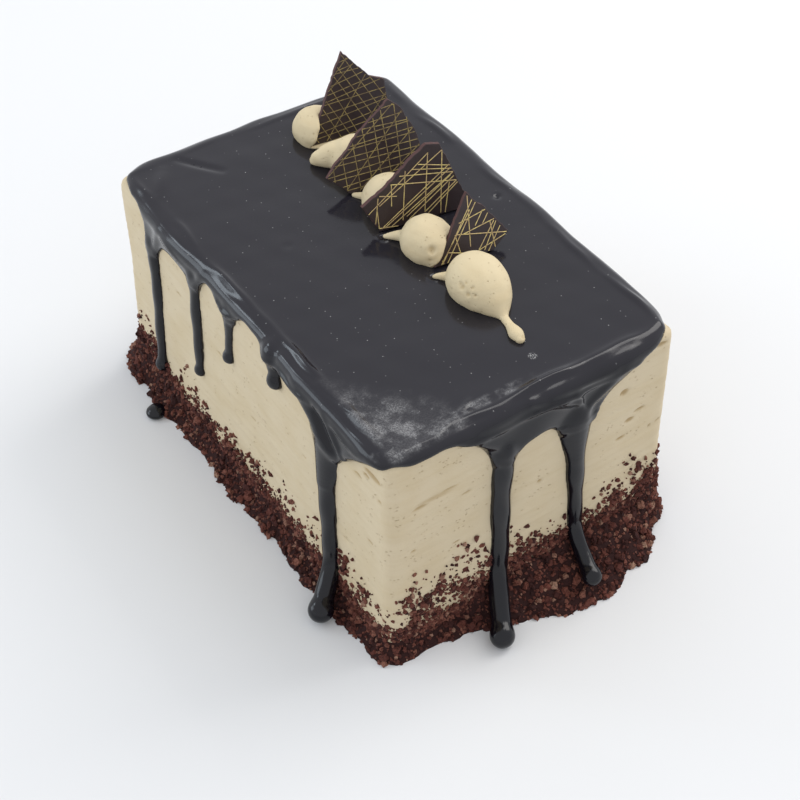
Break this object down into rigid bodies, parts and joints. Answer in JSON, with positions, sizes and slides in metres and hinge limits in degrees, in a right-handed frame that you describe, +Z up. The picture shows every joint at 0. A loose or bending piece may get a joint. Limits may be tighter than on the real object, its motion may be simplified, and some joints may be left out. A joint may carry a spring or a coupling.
{
  "type": "mocha cake",
  "caption": "Rectangular mocha loaf cake in coffee cream, with a dark glaze running down in trickles, a crumb border, piped cream teardrops and chocolate plates.",
  "frame": {"origin": "middle of the foot, on the surface that the cake stands on", "axes": "+X along the short side to the right, +Y along the long side to the back, +Z up; the front with the two long trickles faces -Y"},
  "size_m": [0.1512, 0.224, 0.1366],
  "materials": {
    "coffee_cream": "matt coffee buttercream, smoothed with a palette knife, with fine streaks and small pits",
    "dark_glaze": "glossy near-black chocolate glaze with soft folds at the rim and a dull bloom at one corner",
    "chocolate_crumbs": "dry reddish-brown chocolate cake crumbs, rough",
    "piped_cream": "satin piped coffee cream with small bubbles",
    "chocolate_plate": "satin dark chocolate with fine crossing gold lines"
  },
  "bodies": {
    "root": {"cream_body": "coffee_cream", "chocolate_glaze": "dark_glaze", "fallen_glaze_drop": "dark_glaze", "crumb_border": "chocolate_crumbs", "piped_cream_1": "piped_cream", "piped_cream_2": "piped_cream", "piped_cream_3": "piped_cream", "piped_cream_4": "piped_cream", "piped_cream_5": "piped_cream", "chocolate_shard_front": "chocolate_plate", "chocolate_shard_second": "chocolate_plate", "chocolate_shard_third": "chocolate_plate", "chocolate_shard_back": "chocolate_plate"}
  },
  "joints": []
}
